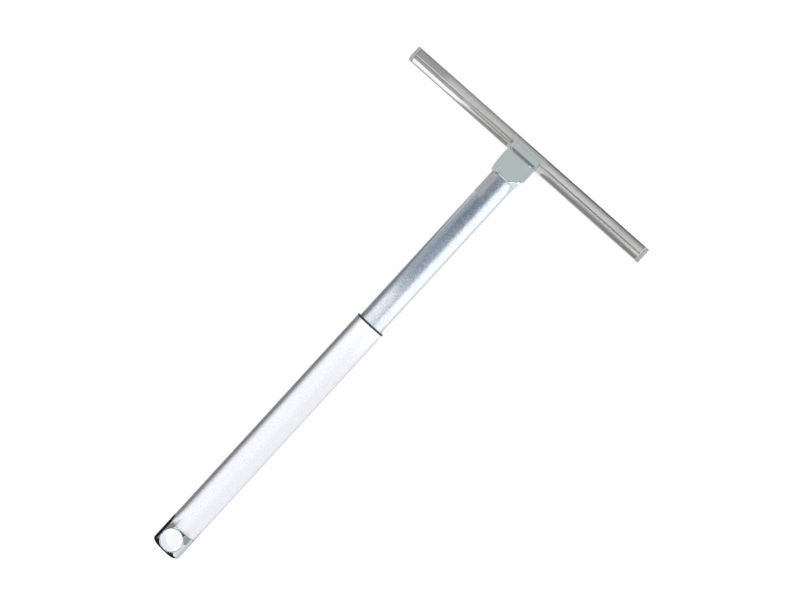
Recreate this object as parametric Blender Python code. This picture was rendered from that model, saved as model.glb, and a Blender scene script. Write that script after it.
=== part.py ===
"""Telescopic shower squeegee, lying on its back.

Metres, +Z up, +Y from the hanging eye to the blade, +X along the blade.
Every piece is modelled about the handle's own axis: y is the distance from the foot of the end cap,
and z the height over the axis. Two empties carry the pieces to their place on the ground.
"""

import math

import bmesh
import bpy
from mathutils import Matrix, Vector

MM = 0.001

# Fits: FIT goes all round a piece that slides or plugs into another, SEAT lies between resting faces
FIT = 0.15 * MM
SEAT = 0.3 * MM

# Section of the handle: a flattened oval, whose sides are squarer the higher the power
OUTER_WIDTH = 27.0 * MM
OUTER_DEPTH = 17.5 * MM
OUTER_WALL = 1.0 * MM
OUTER_LENGTH = 225.4 * MM
INNER_WALL = 0.9 * MM
INNER_SHOWN = 158.5 * MM
OVAL_POWER = 2.5
OVAL_POINTS = 48
ROUND_POINTS = 24
MOUTH_CHAMFER = 0.25 * MM
LEAD_IN = 0.6 * MM

# Bush in the mouth of the outer tube
BUSH_WALL = 0.6 * MM
BUSH_LENGTH = 22.0 * MM
BUSH_FLANGE = 1.3 * MM
BUSH_FLANGE_STEP = 0.1 * MM

# End cap with the hanging eye
EYE_DIAMETER = 18.4 * MM
EYE_FOOT = 3.1 * MM
EYE_TO_SEAM = 1.3 * MM
EYE_RIM = 1.0 * MM
CAP_CORNER = 3.2 * MM
CAP_CROWN = 0.8 * MM
CAP_FLAT_SHARE = 0.3
CAP_SPIGOT = 12.0 * MM
CAP_SCREW_FROM_SEAM = 6.5 * MM

# Slider plug at the foot of the inner tube, with a leaf spring on its front and one on its back
SLIDER_LENGTH = 14.0 * MM
SLIDER_SPIGOT = 16.0 * MM
SLIDER_WALL = 2.6 * MM
PIN_DIAMETER = 3.0 * MM
PIN_FROM_SHOULDER = 8.0 * MM
PIN_SUNK = 0.2 * MM
SPRING_LENGTH = 11.0 * MM
SPRING_WIDTH = 7.0 * MM
SPRING_THICKNESS = 0.35 * MM
SPRING_POCKET = 1.1 * MM

# Head: the casting that joins the inner tube to the blade channel
HEAD_SIDE_WALL = 2.65 * MM
HEAD_FACE_WALL = 1.6 * MM
HEAD_FOOT_NARROWER = 2.2 * MM
HEAD_TOP_NARROWER = 0.4 * MM
HEAD_WIDEST_FROM_FOOT = 15.0 * MM
HEAD_BODY = 22.2 * MM
HEAD_OVER_CHANNEL = 2.4 * MM
HEAD_SOCKET = 12.0 * MM
HEAD_EDGE = 1.0 * MM
HEAD_SHOULDER = 4.0 * MM
HEAD_POWER = 7.0
HEAD_FOOT_POWER = 3.0
HEAD_BLEND = 7.0 * MM
BARREL_STEPS = 7
HEAD_SCREW_FROM_FOOT = 6.0 * MM
LIP_WIDER = 0.6 * MM
LIP_REACH = 7.3 * MM
LIP_THICKNESS = 1.6 * MM
LIP_STEP = 1.75 * MM
LIP_CORNER = 3.0 * MM
LIP_EDGE = 0.35 * MM

# Jaw on the back of the head, which clamps the channel up against the lip
JAW_WIDTH = 18.0 * MM
JAW_FROM_SOCKET = 1.5 * MM
JAW_SUNK = 0.3 * MM
JAW_NOSE = 1.6 * MM
JAW_TO_RUBBER = 0.6 * MM
JAW_ROUND = 0.5 * MM
JAW_SCREW_SPACING = 10.5 * MM

# Blade channel, rolled from strip: its near wall faces the handle
BLADE_LENGTH = 250.0 * MM
CHANNEL_WIDTH = 13.4 * MM
CHANNEL_HEIGHT = 7.7 * MM
CHANNEL_WALL = 0.9 * MM
CHANNEL_FALL = 0.25 * MM
CHANNEL_FLANK = 4.0 * MM
CHANNEL_FAR_EDGE = 1.5 * MM
CHANNEL_UNDER_EDGE = 1.6 * MM
CHANNEL_HEM = 1.6 * MM
CHANNEL_HEM_ROUND = 1.0 * MM
GROOVE_FROM_NEAR = 6.0 * MM
GROOVE_WIDTH = 1.1 * MM
GROOVE_DEPTH = 0.45 * MM

# Silicone blade: a bulb in the channel, a neck in its slot and a lip that leans away from the handle
NECK_THICKNESS = 1.8 * MM
BULB_WIDTH = 6.0 * MM
BULB_ROUND = 1.6 * MM
SHOULDER_WIDTH = 3.6 * MM
SHOULDER_HEIGHT = 1.1 * MM
LIP_ROOT = 1.7 * MM
LIP_TIP = 1.0 * MM
RUBBER_EDGE = 0.3 * MM
LIP_LEAN = math.radians(38)

# Caps that close the ends of the channel
CHANNEL_CAP = 3.2 * MM
CHANNEL_CAP_EDGE = 0.7 * MM
PRONG_LENGTH = 7.0 * MM
PRONG_HEIGHT = 2.6 * MM
PRONG_WIDTH = 1.6 * MM

# Countersunk screws
SCREW_SHANK = 2.9 * MM
SCREW_HEAD = 5.0 * MM
SCREW_RIM = 0.25 * MM
SCREW_SUNK = 0.12 * MM
SCREW_RECESS = 0.9 * MM
RECESS_REACH = 1.4 * MM
RECESS_ARM = 0.32 * MM
SCREW_LENGTH = 7.0 * MM
JAW_SCREW_LENGTH = 11.0 * MM

# How far a cutter runs past what it cuts, and the least radius that a wall leaves inside a bend
PAST = 4.0 * MM
LEAST_RADIUS = 0.1 * MM

# Half sections of the two tubes
outer_half = Vector((OUTER_WIDTH / 2, OUTER_DEPTH / 2))
outer_bore = outer_half - Vector((OUTER_WALL, OUTER_WALL))
bush_half = outer_bore - Vector((FIT, FIT))
inner_half = bush_half - Vector((BUSH_WALL + FIT, BUSH_WALL + FIT))
inner_bore = inner_half - Vector((INNER_WALL, INNER_WALL))
plug_half = inner_bore - Vector((FIT, FIT))
socket_half = inner_half + Vector((FIT, FIT))

# Stations along the handle, from the foot of the end cap
eye_y = EYE_FOOT + EYE_DIAMETER / 2
seam_y = EYE_FOOT + EYE_DIAMETER + EYE_TO_SEAM
outer_foot_y = seam_y + SEAT
mouth_y = outer_foot_y + OUTER_LENGTH
flange_y = mouth_y + SEAT
collar_y = flange_y + BUSH_FLANGE
bush_foot_y = flange_y - BUSH_LENGTH
slider_top_y = bush_foot_y - SEAT
slider_foot_y = slider_top_y - SLIDER_LENGTH
head_foot_y = collar_y + INNER_SHOWN
socket_end_y = head_foot_y + HEAD_SOCKET
inner_top_y = socket_end_y - SEAT
head_end_y = head_foot_y + HEAD_BODY
near_y = head_end_y + SEAT
far_y = near_y + CHANNEL_WIDTH
slot_y = near_y + CHANNEL_WIDTH / 2
crease_y = near_y + HEAD_OVER_CHANNEL
jaw_start_y = socket_end_y + JAW_FROM_SOCKET
lip_end_y = near_y + LIP_REACH

# Heights over the handle's axis
ground_z = -OUTER_DEPTH / 2
head_half_depth = socket_half.y + HEAD_FACE_WALL
head_half_width = socket_half.x + HEAD_SIDE_WALL
lip_top_z = head_half_depth - LIP_STEP
channel_top_z = lip_top_z - LIP_THICKNESS - SEAT
channel_foot_z = channel_top_z - CHANNEL_HEIGHT
jaw_top_z = channel_foot_z - SEAT
jaw_foot_z = JAW_SUNK - head_half_depth
slot_width = NECK_THICKNESS + 2 * SEAT
channel_length = BLADE_LENGTH - 2 * (CHANNEL_CAP + SEAT)


def linear(level):
    """One sRGB level, 0 to 255, as a linear value."""
    share = level / 255
    return share / 12.92 if share <= 0.04045 else ((share + 0.055) / 1.055) ** 2.4


def finish(name, red, green, blue, metallic, roughness):
    """A Principled BSDF material from an sRGB colour."""
    material = bpy.data.materials.new(name)
    material.use_nodes = True
    shader = material.node_tree.nodes["Principled BSDF"]
    shader.inputs["Base Color"].default_value = (linear(red), linear(green), linear(blue), 1)
    shader.inputs["Metallic"].default_value = metallic
    shader.inputs["Roughness"].default_value = roughness
    return material


def solid(name, bm, material=None, parent=None):
    """Turn a closed bmesh into an object whose faces point out, with its round faces shaded smooth."""
    bmesh.ops.recalc_face_normals(bm, faces=bm.faces)
    mesh = bpy.data.meshes.new(name)
    bm.to_mesh(mesh)
    bm.free()
    mesh.shade_smooth()
    mesh.set_sharp_from_angle(angle=math.radians(35))
    made = bpy.data.objects.new(name, mesh)
    bpy.context.scene.collection.objects.link(made)
    made.parent = parent
    if material:
        mesh.materials.append(material)
    return made


def loft(name, rings, material=None, parent=None, closed=False):
    """Bridge rings of equal count. An open loft gets a cap at each end; a closed one meets itself."""
    bm = bmesh.new()
    loops = [[bm.verts.new(point) for point in ring] for ring in rings]
    pairs = list(zip(loops, loops[1:]))
    if closed:
        pairs.append((loops[-1], loops[0]))
    for lower, upper in pairs:
        for i in range(len(lower)):
            j = (i + 1) % len(lower)
            bm.faces.new((lower[i], lower[j], upper[j], upper[i]))
    if not closed:
        bm.faces.new(loops[0])
        bm.faces.new(loops[-1])
    return solid(name, bm, material, parent)


def prism(name, outline, half_length, material=None, parent=None, centre_x=0.0):
    """A (y, z) outline extruded along x, to half_length on both sides of centre_x."""
    bm = bmesh.new()
    face = bm.faces.new([bm.verts.new((centre_x - half_length, y, z)) for y, z in outline])
    grown = bmesh.ops.extrude_face_region(bm, geom=[face])
    moved = [item for item in grown["geom"] if isinstance(item, bmesh.types.BMVert)]
    bmesh.ops.translate(bm, verts=moved, vec=(2 * half_length, 0, 0))
    return solid(name, bm, material, parent)


def oval(half, y, inset=0.0, shrink=1.0, power=OVAL_POWER):
    """A ring across the handle. Its flattest facets lie square on both axes, at exactly the half sizes."""
    reach = math.cos(math.pi / OVAL_POINTS) ** (2 / power)
    width = (half.x - inset) * shrink / reach
    depth = (half.y - inset) * shrink / reach
    ring = []
    for i in range(OVAL_POINTS):
        angle = 2 * math.pi * (i + 0.5) / OVAL_POINTS
        across = math.copysign(abs(math.cos(angle)) ** (2 / power), math.cos(angle))
        up = math.copysign(abs(math.sin(angle)) ** (2 / power), math.sin(angle))
        ring.append((width * across, y, depth * up))
    return ring


def circle(centre, radius, height, finer=1):
    """A ring about a vertical axis through centre, an (x, y) point."""
    points = range(finer * ROUND_POINTS)
    angles = [2 * math.pi * i / len(points) for i in points]
    return [(centre[0] + radius * math.cos(a), centre[1] + radius * math.sin(a), height) for a in angles]


def quarter(steps):
    """Angles from 0 to 90 degrees in equal steps."""
    return [math.pi / 2 * step / steps for step in range(steps + 1)]


def turn_corner(before, corner, after, radius, steps):
    """Points of the arc that rounds one corner of a path."""
    into = (corner - before).normalized()
    out = (after - corner).normalized()
    turn = math.atan2(into.x * out.y - into.y * out.x, into.dot(out))
    if radius <= 0 or abs(turn) < 1e-4:
        return [corner]
    start = corner - into * radius * math.tan(abs(turn) / 2)
    side = math.copysign(1, turn)
    centre = start + Vector((-into.y, into.x)) * side * radius
    spoke = start - centre
    return [centre + Matrix.Rotation(turn * k / steps, 2) @ spoke for k in range(steps + 1)]


def rounded(corners, closed=True, steps=5):
    """A path through (y, z, radius) corners, each rounded to its radius."""
    spots = [Vector(corner[:2]) for corner in corners]
    path = []
    for i, (spot, corner) in enumerate(zip(spots, corners)):
        if not closed and i in (0, len(spots) - 1):
            path.append(spot)
            continue
        path += turn_corner(spots[i - 1], spot, spots[(i + 1) % len(spots)], corner[2], steps)
    return path


def offset(corners, distance, closed=True):
    """Move every side of a path to its left by distance, with the radii of its corners to match."""
    spots = [Vector(corner[:2]) for corner in corners]
    moved = []
    for i, (spot, corner) in enumerate(zip(spots, corners)):
        into = (spot - spots[i - 1]).normalized()
        out = (spots[(i + 1) % len(spots)] - spot).normalized()
        if not closed and i == 0:
            into = out
        if not closed and i == len(spots) - 1:
            out = into
        turn = math.atan2(into.x * out.y - into.y * out.x, into.dot(out))
        mitre = (Vector((-into.y, into.x)) + Vector((-out.y, out.x))).normalized()
        place = spot + mitre * distance / math.cos(turn / 2)
        radius = corner[2] and max(corner[2] - math.copysign(distance, turn * distance), LEAST_RADIUS)
        moved.append((place.x, place.y, radius))
    return moved


def use_boolean(piece, other, operation):
    """Add or take away another solid, which is hidden from then on."""
    modifier = piece.modifiers.new(other.name, "BOOLEAN")
    modifier.operation = operation
    modifier.solver = "EXACT"
    modifier.object = other
    other.hide_render = True
    other.display_type = "WIRE"


def cut(piece, *cutters):
    for cutter in cutters:
        use_boolean(piece, cutter, "DIFFERENCE")


def join(piece, *others):
    for other in others:
        use_boolean(piece, other, "UNION")


def soften(piece, width, angle=50, segments=2):
    """Round the edges that are sharper than angle, in degrees."""
    bevel = piece.modifiers.new("edges", "BEVEL")
    bevel.width = width
    bevel.segments = segments
    bevel.limit_method = "ANGLE"
    bevel.angle_limit = math.radians(angle)


def screw_rings(place, face_z, length, grown=0.0):
    """Rings of a countersunk screw that points up from face_z, or of its hole when grown."""
    head = SCREW_HEAD / 2 + grown
    shank = SCREW_SHANK / 2 + grown
    foot_z = face_z - (PAST if grown else 0)
    cone_z = face_z + SCREW_RIM
    neck_z = cone_z + (head - shank)
    end_z = face_z + length
    levels = [(head, foot_z), (head, cone_z), (shank, neck_z), (shank, end_z + grown)]
    if not grown:
        levels[-1] = (shank, end_z - shank / 2)
        levels.append((shank / 2, end_z))
    return [circle(place, radius, z) for radius, z in levels]


def screw(name, place, face_z, length, material, parent, through):
    """A countersunk screw with a cross recess, and its hole in each piece that it goes through."""
    foot_z = face_z + SCREW_SUNK
    made = loft(name, screw_rings(place, foot_z, length), material, parent)
    hole = loft(name + "_hole", screw_rings(place, foot_z, length, FIT), parent=parent)
    for piece in through:
        cut(piece, hole)
    for along, across in ((RECESS_REACH, RECESS_ARM), (RECESS_ARM, RECESS_REACH)):
        x, y = place
        outline = [(y - across, foot_z - PAST), (y + across, foot_z - PAST)]
        outline += [(y + across, foot_z + SCREW_RECESS), (y - across, foot_z + SCREW_RECESS)]
        cut(made, prism(name + "_recess", outline, along, parent=parent, centre_x=x))
    return made


def tube(name, outer, bore, foot_y, top_y, material, parent):
    """A tube of even wall, with both mouths eased by a small chamfer."""
    ease = MOUTH_CHAMFER
    rings = [oval(outer, foot_y, ease), oval(outer, foot_y + ease), oval(outer, top_y - ease)]
    rings += [oval(outer, top_y, ease), oval(bore, top_y), oval(bore, foot_y)]
    return loft(name, rings, material, parent, closed=True)


def mouth_bush(material, parent):
    """Guide bush: a thin sleeve inside the outer tube, and a flange that closes its mouth."""
    flange = outer_half - Vector((BUSH_FLANGE_STEP, BUSH_FLANGE_STEP))
    ease = MOUTH_CHAMFER
    rings = [oval(bush_half, bush_foot_y), oval(bush_half, flange_y), oval(flange, flange_y)]
    rings += [oval(flange, collar_y - ease), oval(flange, collar_y, ease)]
    rings += [oval(socket_half, collar_y), oval(socket_half, bush_foot_y)]
    return loft("mouth_bush", rings, material, parent, closed=True)


def cap_inset(y):
    """How far the end cap's surface lies inside the handle's oval, over its round foot corner."""
    into = CAP_CROWN + CAP_CORNER - y
    return CAP_CORNER - math.sqrt(CAP_CORNER ** 2 - into ** 2) if into > 0 else 0.0


def cap_height(x, y):
    """Height of the end cap's face over the axis."""
    half = outer_half - Vector((cap_inset(y), cap_inset(y)))
    return half.y * (1 - (abs(x) / half.x) ** OVAL_POWER) ** (1 / OVAL_POWER)


def eye_bore(parent):
    """Cutter for the hanging eye: a round bore, whose rims flare by a quarter round along the face."""
    flare = [(EYE_RIM * (1 - math.sin(a)), -EYE_RIM * (1 - math.cos(a))) for a in quarter(3)]
    levels = [(EYE_RIM, PAST)] + flare
    rings = []
    for side, order in ((-1, levels), (1, levels[::-1])):
        for wider, over in order:
            ring = circle((0, eye_y), EYE_DIAMETER / 2 + wider, 0, finer=2)
            rings.append([(x, y, side * (cap_height(x, y) + over)) for x, y, z in ring])
    return loft("eye_bore", rings, parent=parent)


def end_cap(material, parent):
    """Cast cap with the hanging eye: a domed foot, rounded corners, a shoulder and a spigot."""
    rings = []
    for share in (CAP_FLAT_SHARE, (CAP_FLAT_SHARE + 1) / 2):
        y = CAP_CROWN * ((share - CAP_FLAT_SHARE) / (1 - CAP_FLAT_SHARE)) ** 2
        rings.append(oval(outer_half, y, CAP_CORNER, share))
    for angle in quarter(5):
        y = CAP_CROWN + CAP_CORNER * (1 - math.cos(angle))
        rings.append(oval(outer_half, y, cap_inset(y)))
    rings += [oval(outer_half, seam_y), oval(bush_half, seam_y)]
    rings += [oval(bush_half, seam_y + CAP_SPIGOT - LEAD_IN)]
    rings += [oval(bush_half, seam_y + CAP_SPIGOT, LEAD_IN)]
    cap = loft("end_cap", rings, material, parent)
    cut(cap, eye_bore(parent))
    return cap


def cored_plug(name, rings, wall, floor_y, material, parent):
    """A moulded plug, hollow from its foot up to floor_y."""
    foot = rings[0][0][1]
    core = plug_half - Vector((wall, wall))
    return loft(name, [oval(core, floor_y), oval(core, foot)] + rings, material, parent)


def slider_plug(material, parent):
    """Nylon slider: a guide block under the inner tube, and a spigot plugged into it."""
    rings = [oval(bush_half, slider_foot_y, LEAD_IN), oval(bush_half, slider_foot_y + LEAD_IN)]
    rings += [oval(bush_half, slider_top_y), oval(plug_half, slider_top_y)]
    top_y = slider_top_y + SEAT + SLIDER_SPIGOT
    rings += [oval(plug_half, top_y - LEAD_IN), oval(plug_half, top_y, LEAD_IN)]
    plug = cored_plug("slider_plug", rings, SLIDER_WALL, slider_top_y, material, parent)
    centre = slider_foot_y + SLIDER_LENGTH / 2
    for side in (1, -1):
        y = SPRING_LENGTH / 2 + SEAT
        floor, mouth = side * (bush_half.y - SPRING_POCKET), side * (bush_half.y + PAST)
        outline = [(centre - y, floor), (centre + y, floor), (centre + y, mouth), (centre - y, mouth)]
        cut(plug, prism("spring_pocket", outline, SPRING_WIDTH / 2 + SEAT, parent=parent))
    return plug


def friction_spring(name, side, material, parent):
    """Bowed leaf spring in its pocket: it stands on its two ends, and its crown rubs the outer tube."""
    foot = bush_half.y - SPRING_POCKET + FIT
    bow = bush_half.y - foot - SPRING_THICKNESS
    centre = slider_foot_y + SLIDER_LENGTH / 2
    shares = [k / 4 for k in range(-4, 5)]
    under = [(centre + s * SPRING_LENGTH / 2, side * (foot + bow * (1 - s * s))) for s in shares]
    over = [(y, z + side * SPRING_THICKNESS) for y, z in reversed(under)]
    return prism(name, under + over, SPRING_WIDTH / 2, material, parent)


def cross_pin(name, y, radius, half_length, material, parent):
    """A round pin that lies along x."""
    pin = loft(name, [circle((0, 0), radius, z) for z in (-half_length, half_length)], material, parent)
    pin.data.transform(Matrix.Translation((0, y, 0)) @ Matrix.Rotation(math.pi / 2, 4, "Y"))
    return pin


def head_width_at(y):
    """Half width of the head's barrel at a distance y from its foot."""
    if y < HEAD_WIDEST_FROM_FOOT:
        swell = math.sin(math.pi / 2 * y / HEAD_WIDEST_FROM_FOOT)
        return head_half_width - HEAD_FOOT_NARROWER / 2 * (1 - swell)
    past = (y - HEAD_WIDEST_FROM_FOOT) / (crease_y - head_foot_y - HEAD_WIDEST_FROM_FOOT)
    return head_half_width - HEAD_TOP_NARROWER / 2 * past ** 2


def head_power_at(y):
    """Power of the head's section, which runs from an oval like the tube's at its foot to a box with round edges."""
    share = min(y / HEAD_BLEND, 1)
    return HEAD_FOOT_POWER + (HEAD_POWER - HEAD_FOOT_POWER) * (1 - math.cos(math.pi * share)) / 2


def head_body_rings():
    """Rings of the head's body: a round edge at its foot, a barrel, and a shoulder down to the crease."""
    length = crease_y - head_foot_y
    levels = []
    for angle in quarter(3):
        inset = HEAD_EDGE * (1 - math.sin(angle))
        levels.append((HEAD_EDGE * (1 - math.cos(angle)), inset, inset, inset))
    barrel = length - HEAD_SHOULDER - HEAD_EDGE
    levels += [(HEAD_EDGE + barrel * step / BARREL_STEPS, 0, 0, 0) for step in range(1, BARREL_STEPS + 1)]
    fall = LIP_STEP + LIP_THICKNESS / 2
    for angle in quarter(6)[1:]:
        levels.append((length - HEAD_SHOULDER * (1 - math.sin(angle)), 0, fall * (1 - math.cos(angle)), 0))
    rings = []
    for y, side, front, back in levels:
        ring = oval(Vector((head_width_at(y) - side, 1.0)), head_foot_y + y, power=head_power_at(y))
        heights = (head_half_depth - front, head_half_depth - back)
        rings.append([(x, ring_y, up * heights[0 if up > 0 else 1]) for x, ring_y, up in ring])
    return rings


def head_connector(material, parent):
    """Cast head: a barrel body with a socket for the tube, and a thin lip over the channel's face."""
    head = loft("head_connector", head_body_rings(), material, parent)
    join(head, head_lip(parent))
    cut(head, channel_rabbet(parent), tube_socket(parent), jaw_recess(parent))
    return head


def head_lip(parent):
    """The lip as a plate with two round corners. It narrows to start inside the body, under the shoulder."""
    half = head_half_width - HEAD_TOP_NARROWER / 2 + LIP_WIDER / 2
    root_y = crease_y - HEAD_SHOULDER / 2
    corners = [(LIP_WIDER - half, root_y, 0), (half - LIP_WIDER, root_y, 0), (half, crease_y, 0)]
    corners += [(half, lip_end_y, LIP_CORNER), (-half, lip_end_y, LIP_CORNER), (-half, crease_y, 0)]
    outline = rounded(corners)
    rings = []
    for inset, z in ((0, channel_top_z), (0, lip_top_z - LIP_EDGE), (LIP_EDGE, lip_top_z)):
        shares = (1 - inset / half, 1 - inset / (lip_end_y - root_y))
        rings.append([(x * shares[0], root_y + (y - root_y) * shares[1], z) for x, y in outline])
    return loft("head_lip", rings, parent=parent)


def channel_corners():
    """The channel's outside as four (y, z, radius) corners, from the foot of its near wall and clockwise."""
    return [
        (near_y, channel_foot_z, CHANNEL_UNDER_EDGE),
        (near_y, channel_top_z, CHANNEL_FLANK),
        (far_y, channel_top_z - CHANNEL_FALL, CHANNEL_FAR_EDGE),
        (far_y, channel_foot_z, CHANNEL_UNDER_EDGE),
    ]


def channel_rabbet(parent):
    """Cutter for the head's seat: it fits the channel's near wall, flank and face, and is open below."""
    wall_y = near_y - SEAT
    top_z = channel_top_z + SEAT
    corners = [(wall_y, ground_z - PAST, 0), (wall_y, top_z, CHANNEL_FLANK + SEAT)]
    corners += [(far_y + PAST, top_z, 0), (far_y + PAST, ground_z - PAST, 0)]
    return prism("channel_rabbet", rounded(corners), head_half_width + PAST, parent=parent)


def tube_socket(parent):
    rings = [oval(socket_half, y) for y in (head_foot_y - PAST, socket_end_y)]
    return loft("tube_socket", rings, parent=parent)


def jaw_recess(parent):
    start = jaw_start_y - FIT
    foot_z = ground_z - PAST
    outline = [(start, foot_z), (start, channel_foot_z), (far_y, channel_foot_z), (far_y, foot_z)]
    return prism("jaw_recess", outline, JAW_WIDTH / 2 + FIT, parent=parent)


def head_jaw(material, parent):
    """Wedge-nosed jaw that lies in the head's back and reaches under the channel."""
    nose_y = slot_y - SHOULDER_WIDTH / 2 - JAW_TO_RUBBER
    corners = [
        (jaw_start_y, jaw_foot_z, JAW_ROUND),
        (jaw_start_y, jaw_top_z, JAW_ROUND),
        (nose_y, jaw_top_z, JAW_ROUND),
        (nose_y, jaw_top_z - JAW_NOSE, JAW_ROUND),
        (head_end_y, jaw_foot_z, JAW_ROUND),
    ]
    jaw = prism("head_jaw", rounded(corners, steps=3), JAW_WIDTH / 2, material, parent)
    soften(jaw, JAW_ROUND / 2)
    return jaw


def blade_channel(material, parent):
    """Rolled channel: the strip goes from one hem of the slot, round the outside, to the other hem."""
    groove_y = near_y + GROOVE_FROM_NEAR
    foot, near, far, end = channel_corners()
    hems = [slot_y - slot_width / 2, slot_y + slot_width / 2]
    corners = [
        (hems[0], channel_foot_z + CHANNEL_HEM, 0),
        (hems[0], channel_foot_z, CHANNEL_HEM_ROUND),
        foot,
        near,
        (groove_y - GROOVE_WIDTH / 2, channel_top_z, 0),
        (groove_y, channel_top_z - GROOVE_DEPTH, GROOVE_DEPTH / 2),
        (groove_y + GROOVE_WIDTH / 2, channel_top_z, 0),
        far,
        end,
        (hems[1], channel_foot_z, CHANNEL_HEM_ROUND),
        (hems[1], channel_foot_z + CHANNEL_HEM, 0),
    ]
    outside = rounded(corners, closed=False)
    inside = rounded(offset(corners, -CHANNEL_WALL, closed=False), closed=False)
    return prism("blade_channel", outside + inside[::-1], channel_length / 2, material, parent)


def blade_rubber(material, parent):
    """Silicone blade in one outline: bulb, neck, shoulder and the lip that leans away from the handle."""
    neck, bulb, shoulder = NECK_THICKNESS / 2, BULB_WIDTH / 2, SHOULDER_WIDTH / 2
    bulb_foot = channel_foot_z + CHANNEL_HEM + SEAT
    bulb_top = channel_top_z - CHANNEL_WALL - GROOVE_DEPTH - SEAT
    bulb_round = min(BULB_ROUND, (bulb_top - bulb_foot) / 2 - RUBBER_EDGE)
    shoulder_top = channel_foot_z - SEAT
    shoulder_foot = shoulder_top - SHOULDER_HEIGHT
    square = Vector((math.cos(LIP_LEAN), math.sin(LIP_LEAN)))
    tip_z = ground_z + square.y * LIP_TIP / 2
    tip_y = slot_y + (shoulder_foot - tip_z) * math.tan(LIP_LEAN)
    root = LIP_ROOT / 2 / square.x
    corners = [
        (slot_y - neck, bulb_foot, 0),
        (slot_y - bulb, bulb_foot, bulb_round),
        (slot_y - bulb, bulb_top, bulb_round),
        (slot_y + bulb, bulb_top, bulb_round),
        (slot_y + bulb, bulb_foot, bulb_round),
        (slot_y + neck, bulb_foot, 0),
        (slot_y + neck, shoulder_top, 0),
        (slot_y + shoulder, shoulder_top, RUBBER_EDGE),
        (slot_y + shoulder, shoulder_foot, RUBBER_EDGE),
        (slot_y + root, shoulder_foot, RUBBER_EDGE),
        (tip_y + square.x * LIP_TIP / 2, tip_z + square.y * LIP_TIP / 2, 0),
        (tip_y - square.x * LIP_TIP / 2, tip_z - square.y * LIP_TIP / 2, 0),
        (slot_y - root, shoulder_foot, RUBBER_EDGE),
        (slot_y - shoulder, shoulder_foot, RUBBER_EDGE),
        (slot_y - shoulder, shoulder_top, RUBBER_EDGE),
        (slot_y - neck, shoulder_top, 0),
    ]
    return prism("blade_rubber", rounded(corners, steps=4), channel_length / 2, material, parent)


def channel_cap(name, side, material, parent):
    """Cap on one end of the channel: a plate of the channel's own outline, and two prongs beside the bulb."""
    middle = side * (BLADE_LENGTH - CHANNEL_CAP) / 2
    cap = prism(name, rounded(channel_corners()), CHANNEL_CAP / 2, material, parent, centre_x=middle)
    soften(cap, CHANNEL_CAP_EDGE, angle=60)
    foot_z = channel_foot_z + CHANNEL_WALL + SEAT
    inner = BULB_WIDTH / 2 + SEAT
    for prong_side in (1, -1):
        sides = [slot_y + prong_side * inner, slot_y + prong_side * (inner + PRONG_WIDTH)]
        outline = [(sides[0], foot_z), (sides[1], foot_z), (sides[1], foot_z + PRONG_HEIGHT)]
        outline.append((sides[0], foot_z + PRONG_HEIGHT))
        root_x = (BLADE_LENGTH - CHANNEL_CAP) / 2
        tip_x = channel_length / 2 - PRONG_LENGTH
        half_length = (root_x - tip_x) / 2
        prong = prism("prong", outline, half_length, parent=parent, centre_x=side * (root_x + tip_x) / 2)
        join(cap, prong)
    return cap


def empty(name):
    """A carrier on the handle's axis, over the middle of the ground that the part covers."""
    made = bpy.data.objects.new(name, None)
    made.location = (0, -far_y / 2, -ground_z)
    bpy.context.scene.collection.objects.link(made)
    return made


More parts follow.
